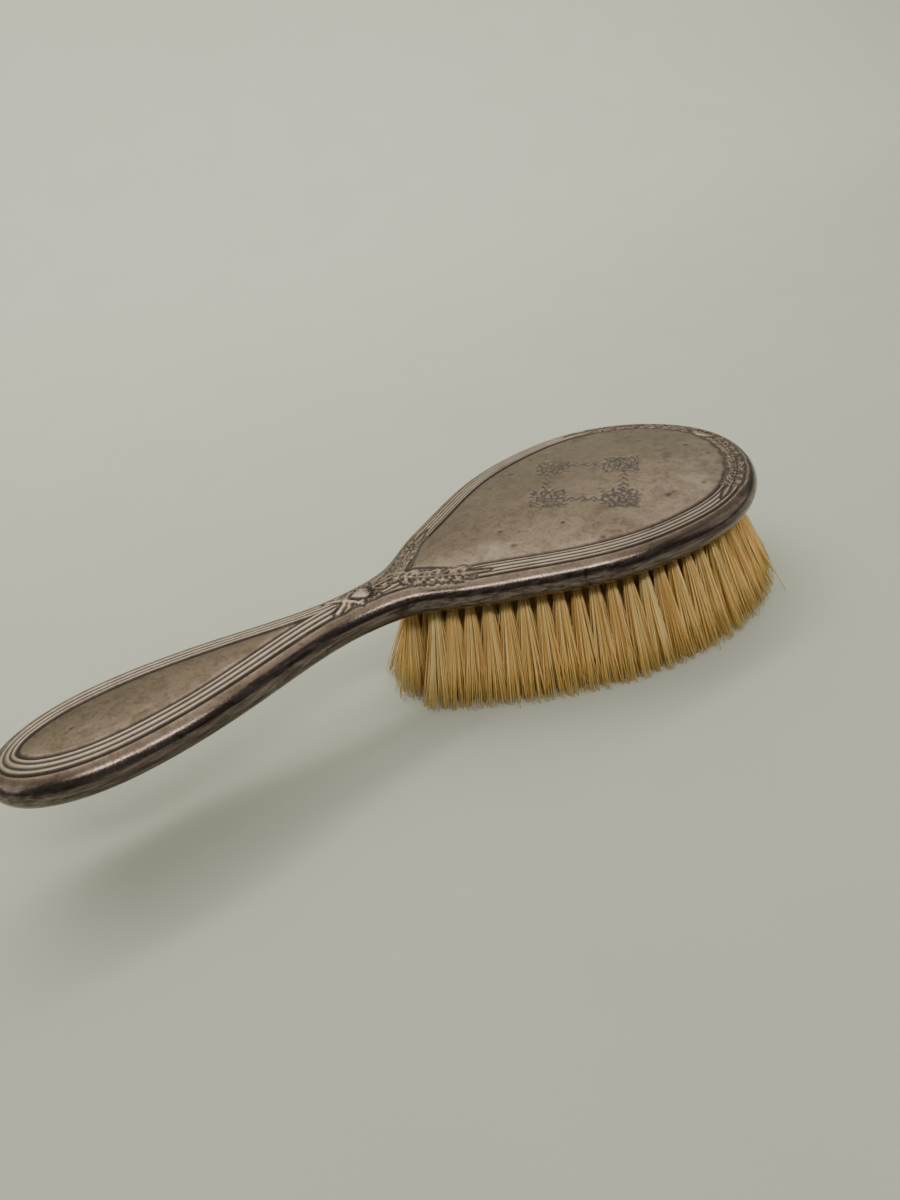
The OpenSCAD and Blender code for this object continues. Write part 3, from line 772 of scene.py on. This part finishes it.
# ---------------------------------------------------------------- materials
class Graph:
    """Short calls for building a material's nodes, with places in millimetres."""

    def __init__(self, name):
        self.mat = bpy.data.materials.new(name)
        self.mat.use_nodes = True
        self.tree = self.mat.node_tree
        self.shader = self.tree.nodes["Principled BSDF"]
        coord = self.add("ShaderNodeTexCoord")
        scale = self.add("ShaderNodeVectorMath", operation="SCALE")
        self.link(coord.outputs["Object"], scale.inputs[0])
        scale.inputs["Scale"].default_value = 1000
        self.mm = scale.outputs[0]

    def add(self, kind, **settings):
        node = self.tree.nodes.new(kind)
        for key, value in settings.items():
            setattr(node, key, value)
        return node

    def link(self, a, b):
        self.tree.links.new(a, b)

    def put(self, socket, value):
        if isinstance(value, bpy.types.NodeSocket):
            self.link(value, socket)
        else:
            socket.default_value = value

    def stretch(self, scale):
        """Places scaled along each axis, for a pattern that runs one way."""
        m = self.add("ShaderNodeMapping")
        self.link(self.mm, m.inputs[0])
        m.inputs["Scale"].default_value = scale
        return m.outputs[0]

    def noise(self, scale, detail=4, rough=0.55, distort=0.0, where=None):
        n = self.add("ShaderNodeTexNoise")
        self.link(where or self.mm, n.inputs["Vector"])
        n.inputs["Scale"].default_value = scale
        n.inputs["Detail"].default_value = detail
        n.inputs["Roughness"].default_value = rough
        n.inputs["Distortion"].default_value = distort
        return n.outputs["Fac"]

    def value(self, name):
        """A value stored on the mesh's points."""
        return self.add("ShaderNodeAttribute", attribute_name=name).outputs["Fac"]

    def math(self, kind, a, b=0.0, clamp=False):
        n = self.add("ShaderNodeMath", operation=kind, use_clamp=clamp)
        self.put(n.inputs[0], a)
        self.put(n.inputs[1], b)
        return n.outputs[0]

    def ramp(self, value, a, b, lo=0.0, hi=1.0):
        """lo where value is below a, hi where it is above b, smooth between."""
        n = self.add("ShaderNodeMapRange", interpolation_type="SMOOTHSTEP")
        self.put(n.inputs[0], value)
        for k, v in enumerate((a, b, lo, hi)):
            n.inputs[k + 1].default_value = v
        return n.outputs[0]

    def mix(self, factor, a, b):
        n = self.add("ShaderNodeMix", data_type="RGBA")
        self.put(n.inputs[0], factor)
        self.put(n.inputs[6], a if isinstance(a, bpy.types.NodeSocket) else (*a, 1))
        self.put(n.inputs[7], b if isinstance(b, bpy.types.NodeSocket) else (*b, 1))
        return n.outputs[2]

    def bump(self, height, distance, strength=1.0, normal=None):
        n = self.add("ShaderNodeBump")
        n.inputs["Strength"].default_value = strength
        n.inputs["Distance"].default_value = distance
        self.link(height, n.inputs["Height"])
        if normal:
            self.link(normal, n.inputs["Normal"])
        return n.outputs[0]

    def set(self, **inputs):
        """Fills the shader's inputs; an underscore stands for a space."""
        for key, value in inputs.items():
            self.put(self.shader.inputs[key.replace("_", " ")], value)
        return self.mat


def silver_material(name):
    """Tarnished silver, from how dark, raised and far down the roll each point is; the lower roll
    gets a painted dark reflection.
    """
    g = Graph(name)
    tarnish, brown, black = (0.15, 0.112, 0.083), (0.07, 0.047, 0.031), (0.022, 0.015, 0.01)
    bright, bare = (0.30, 0.24, 0.185), (0.40, 0.33, 0.26)
    dark, lift, edge = g.value("dark"), g.value("lift"), g.value("edge")
    broad = g.noise(0.035, 3, 0.6)
    cloud = g.noise(0.26, 7, 0.7, 0.4)
    speck = g.noise(0.9, 6, 0.75)
    grain = g.noise(5.0, 3, 0.6)
    fleck = g.noise(2.2, 4, 0.75, where=g.stretch((0.6, 1.4, 1.0)))
    burn = g.noise(0.11, 7, 0.68, 0.6)
    scratch = g.noise(1.0, 3, 0.6, where=g.stretch((0.35, 5.0, 1.0)))
    streak = g.noise(0.5, 5, 0.65, where=g.stretch((0.12, 1.0, 2.2)))
    film = g.math("ADD", g.ramp(broad, 0.38, 0.66, 0.0, 0.35),
                  g.ramp(cloud, 0.40, 0.72, 0.0, 0.65), True)
    color = g.mix(film, tarnish, brown)
    color = g.mix(g.ramp(speck, 0.51, 0.66, 0.0, 0.75), color, (0.055, 0.037, 0.024))
    color = g.mix(g.ramp(fleck, 0.52, 0.74, 0.0, 0.6), color, (0.065, 0.044, 0.03))
    color = g.mix(g.ramp(fleck, 0.2, 0.42, 0.4, 0.0), color, bright)
    # what stands up is rubbed bare; the roll is painted dark, standing in for the dark front that
    # it reflects, with tarnish streaks and blots on it; the grooves are black
    color = g.mix(g.ramp(lift, 0.05, 0.24, 0.0, 0.5), color, bare)
    # the lower roll's colour: tarnish streaks over a painted dark reflection
    low = g.mix(g.ramp(streak, 0.35, 0.68), (0.07, 0.048, 0.045), (0.27, 0.225, 0.205))
    roll_shade_and_blot_share = g.math("MULTIPLY", edge, 0.85)
    color = g.mix(roll_shade_and_blot_share, color, low)
    blot = g.math("MULTIPLY", g.ramp(burn, 0.57, 0.68, 0.0, 0.85), g.math("ADD", roll_shade_and_blot_share, 0.12))
    color = g.mix(blot, color, (0.035, 0.024, 0.018))
    color = g.mix(g.ramp(dark, 0.1, 0.85, 0.0, 0.88), color, black)
    # the roll is smoother than the panel
    rough = g.ramp(cloud, 0.3, 0.7, 0.36, 0.46)
    smooth = g.math("MULTIPLY", g.ramp(edge, 0.0, 0.4), g.ramp(speck, 0.4, 0.7, 0.23, 0.12))
    rough = g.math("SUBTRACT", rough, smooth)
    rough = g.math("ADD", rough, g.math("MULTIPLY", dark, 0.3))
    rough = g.math("ADD", rough, g.ramp(scratch, 0.55, 0.75, 0.0, 0.06))
    metal = g.math("SUBTRACT", 1.0, g.math("MULTIPLY", dark, 0.75), True)
    height = g.math("ADD", g.math("MULTIPLY", speck, 0.7), g.math("MULTIPLY", scratch, 0.35))
    height = g.math("ADD", g.math("MULTIPLY", grain, 0.25), height)
    height = g.math("MULTIPLY", height, g.ramp(edge, 0.0, 0.6, 1.0, 0.45))
    return g.set(Base_Color=color, Metallic=metal, Roughness=rough,
                 Normal=g.bump(height, 0.00007, 0.7))


def solder_material():
    g = Graph("solder_dull")
    cloud = g.noise(0.5, 5)
    color = g.mix(cloud, (0.16, 0.13, 0.11), (0.34, 0.31, 0.28))
    return g.set(Base_Color=color, Metallic=0.9, Roughness=g.ramp(cloud, 0.3, 0.7, 0.4, 0.6),
                 Normal=g.bump(g.noise(3.0, 4), 0.00008, 0.6))


def bristle_material():
    """Straw coloured bristle, with painted shade at the root, some bristles brown."""
    g = Graph("bristle_straw")
    tone, along = g.value("tone"), g.value("along")
    color = g.mix(g.ramp(tone, 0.25, 1.0), (0.92, 0.55, 0.16), (1.0, 0.79, 0.36))
    color = g.mix(g.ramp(tone, 0.0, 0.42, 0.65, 0.0), color, (0.42, 0.19, 0.05))
    # painted shade down at the roots, between the tufts
    color = g.mix(g.ramp(along, 0.0, 0.2, 0.35, 0.0), color, (0.40, 0.16, 0.05))
    # lighter, warmer amber towards the tips: partly the bristles' own colour, partly painted light
    # standing in for light bounced up from the floor
    color = g.mix(g.ramp(along, 0.5, 1.0, 0.0, 0.6), color, (1.0, 0.66, 0.19))
    fibre = g.noise(1.2, 3, where=g.stretch((1.0, 1.0, 0.25)))
    color = g.mix(g.ramp(fibre, 0.5, 0.8, 0.0, 0.25), color, (0.50, 0.25, 0.07))
    mat = g.set(Base_Color=color, Roughness=g.ramp(fibre, 0.3, 0.7, 0.38, 0.55),
                Normal=g.bump(g.noise(9.0, 2), 0.00002, 0.4))
    g.shader.inputs["Subsurface Weight"].default_value = 0.15
    g.shader.inputs["Subsurface Radius"].default_value = (0.0012, 0.0007, 0.0003)
    g.shader.inputs["Subsurface Scale"].default_value = 0.5
    return mat


def wood_material(name, light, deep, gloss):
    g = Graph(name)
    run = g.stretch((0.08, 1.0, 1.0))
    ring = g.noise(0.35, 4, 0.6, 1.2, where=run)
    fibre = g.noise(3.2, 5, 0.65, where=g.stretch((0.12, 3.0, 3.0)))
    color = g.mix(g.ramp(ring, 0.35, 0.65), light, deep)
    color = g.mix(g.ramp(fibre, 0.5, 0.75, 0.0, 0.5), color, tuple(0.45 * c for c in deep))
    return g.set(Base_Color=color, Roughness=g.ramp(fibre, 0.3, 0.7, gloss, gloss + 0.15),
                 Normal=g.bump(fibre, 0.00015, 0.5))


def filler_material():
    g = Graph("filler_pitch")
    lump = g.noise(0.6, 6, 0.7)
    color = g.mix(lump, (0.035, 0.026, 0.02), (0.16, 0.12, 0.09))
    return g.set(Base_Color=color, Roughness=g.ramp(lump, 0.3, 0.7, 0.55, 0.85),
                 Normal=g.bump(lump, 0.0003, 0.7))


def metal_material(name, bright, dull, rough):
    g = Graph(name)
    cloud = g.noise(0.6, 5)
    draw = g.noise(2.0, 4, where=g.stretch((0.1, 4.0, 4.0)))
    color = g.mix(g.ramp(cloud, 0.35, 0.7), bright, dull)
    return g.set(Base_Color=color, Metallic=1.0, Normal=g.bump(draw, 0.00004, 0.6),
                 Roughness=g.ramp(draw, 0.3, 0.7, rough, rough + 0.2))


def floor_material():
    g = Graph("floor_pale")
    g.shader.inputs["Roughness"].default_value = 0.85
    weave = g.noise(0.02, 4, 0.5)
    return g.set(Base_Color=g.mix(weave, (0.355, 0.365, 0.292), (0.387, 0.397, 0.323)),
                 Normal=g.bump(g.noise(0.9, 4), 0.0001, 0.4))


def dress(obj, mat, slot=None):
    """Gives an object its material; a new piece also rides on the brush."""
    obj.data.materials.clear()
    obj.data.materials.append(mat)
    if slot:
        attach(obj, "root")


# ---------------------------------------------------------------- build
silver = silver_material("silver_tarnished")
back = build_back()
dress(back, silver, "silver_plate")
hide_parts("back_shell")
under = build_under()
dress(under, silver, "silver_plate")
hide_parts("under_shell")
seam = build_seam()
dress(seam, solder_material(), "solder")
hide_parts("solder_seam")

ROWS = 13
straw = bristle_material()
for k in range(1, ROWS + 1):
    hair = build_bristles(f"tuft_row_{k:02d}", f"bristles_{k:02d}", 100 + k)
    dress(hair, straw, "bristle")
    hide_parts(f"tuft_row_{k:02d}")

board_wood = wood_material("board_stained", (0.13, 0.06, 0.028), (0.06, 0.026, 0.012), 0.45)
veneer_wood = wood_material("veneer_sawn", (0.42, 0.27, 0.15), (0.28, 0.16, 0.08), 0.55)
filler = filler_material()
steel = metal_material("tang_steel", (0.42, 0.42, 0.43), (0.24, 0.22, 0.2), 0.35)
brass = metal_material("wire_brass", (0.72, 0.52, 0.24), (0.45, 0.3, 0.13), 0.3)
carried = {"bristle_board": board_wood, "cover_veneer": veneer_wood, "head_cement": filler,
           "handle_pitch": filler, "neck_tang": steel}
for k in range(1, ROWS + 1):
    carried[f"draw_wire_{k:02d}"] = brass
for node, mat in carried.items():
    dress(nodes[node], mat)


# ---------------------------------------------------------------- floor, light and camera
FLOOR_FRONT, FLOOR_BACK, FLOOR_HALF = -1.5, 0.45, 3.0       # metres
SWEEP_R, WALL_TOP = 0.35, 2.4


def build_floor():
    """A sheet that runs level under the brush and sweeps up well behind it."""
    profile = [(FLOOR_FRONT, 0.0), (FLOOR_BACK, 0.0)]
    profile += [(FLOOR_BACK + SWEEP_R * math.sin(a), SWEEP_R - SWEEP_R * math.cos(a))
                for a in np.radians(np.linspace(8, 90, 12))]
    profile.append((FLOOR_BACK + SWEEP_R, WALL_TOP))
    verts = [(x, y, z) for y, z in profile for x in (-FLOOR_HALF, FLOOR_HALF)]
    faces = [(2 * k, 2 * k + 1, 2 * k + 3, 2 * k + 2) for k in range(len(profile) - 1)]
    obj = new_object("floor_sheet", verts, faces, sharp=None)
    obj.data.materials.append(floor_material())


def soft_light(name, place, target, size, power, color):
    """A rectangular lamp turned towards a target; places and sizes in metres."""
    data = bpy.data.lights.new(name, "AREA")
    data.shape = "RECTANGLE"
    data.size, data.size_y = size
    data.energy = power
    data.color = color
    obj = bpy.data.objects.new(name, data)
    obj.location = place
    obj.rotation_euler = (Vector(target) - Vector(place)).to_track_quat("-Z", "Y").to_euler()
    bpy.context.scene.collection.objects.link(obj)


build_floor()
soft_light("light_top", (0.05, 0.06, 0.62), (0, 0, 0), (0.7, 0.5), 2.2, (1.0, 0.985, 0.95))
soft_light("light_left", (-0.6, 0.1, 0.35), (0, 0, 0.02), (0.5, 0.4), 0.8, (1.0, 0.99, 0.96))
soft_light("light_right", (0.6, -0.3, 0.3), (0.08, 0, 0.02), (0.5, 0.4), 0.5, (1.0, 0.98, 0.94))
soft_light("light_front", (-0.1, -0.5, 0.7), (0.03, 0, 0.01), (0.6, 0.12), 3.3, (1.0, 0.98, 0.94))
soft_light("light_back", (0.5, 0.52, 0.95), (0.5, 0.95, 0.45), (2.2, 0.5), 27.0, (1.0, 1.0, 0.96))

world = bpy.data.worlds.new("studio")
world.use_nodes = True
background = world.node_tree.nodes["Background"]
background.inputs["Color"].default_value = (0.60, 0.60, 0.585, 1)
background.inputs["Strength"].default_value = 0.25
bpy.context.scene.world = world

# the camera stands where the photograph was taken from, in the brush's own frame
CAMERA_AT = (23.9, -191.5, 131.6)
CAMERA_LOOK = (0.4005, 0.7362, -0.5455)
CAMERA_UP = (0.4088, 0.3893, 0.8255)
cam_data = bpy.data.cameras.new("camera")
cam_data.sensor_fit = "VERTICAL"
cam_data.sensor_height = 36
cam_data.lens = 26.41
cam_data.clip_start = 0.01
camera = bpy.data.objects.new("camera", cam_data)
look, up = Vector(CAMERA_LOOK).normalized(), Vector(CAMERA_UP).normalized()
right = look.cross(up).normalized()
up = right.cross(look)
turned = Matrix((right, up, -look)).transposed().to_4x4()
camera.matrix_world = Matrix.Translation(Vector(to_row(CAMERA_AT))) @ turned
bpy.context.scene.collection.objects.link(camera)
bpy.context.scene.camera = camera
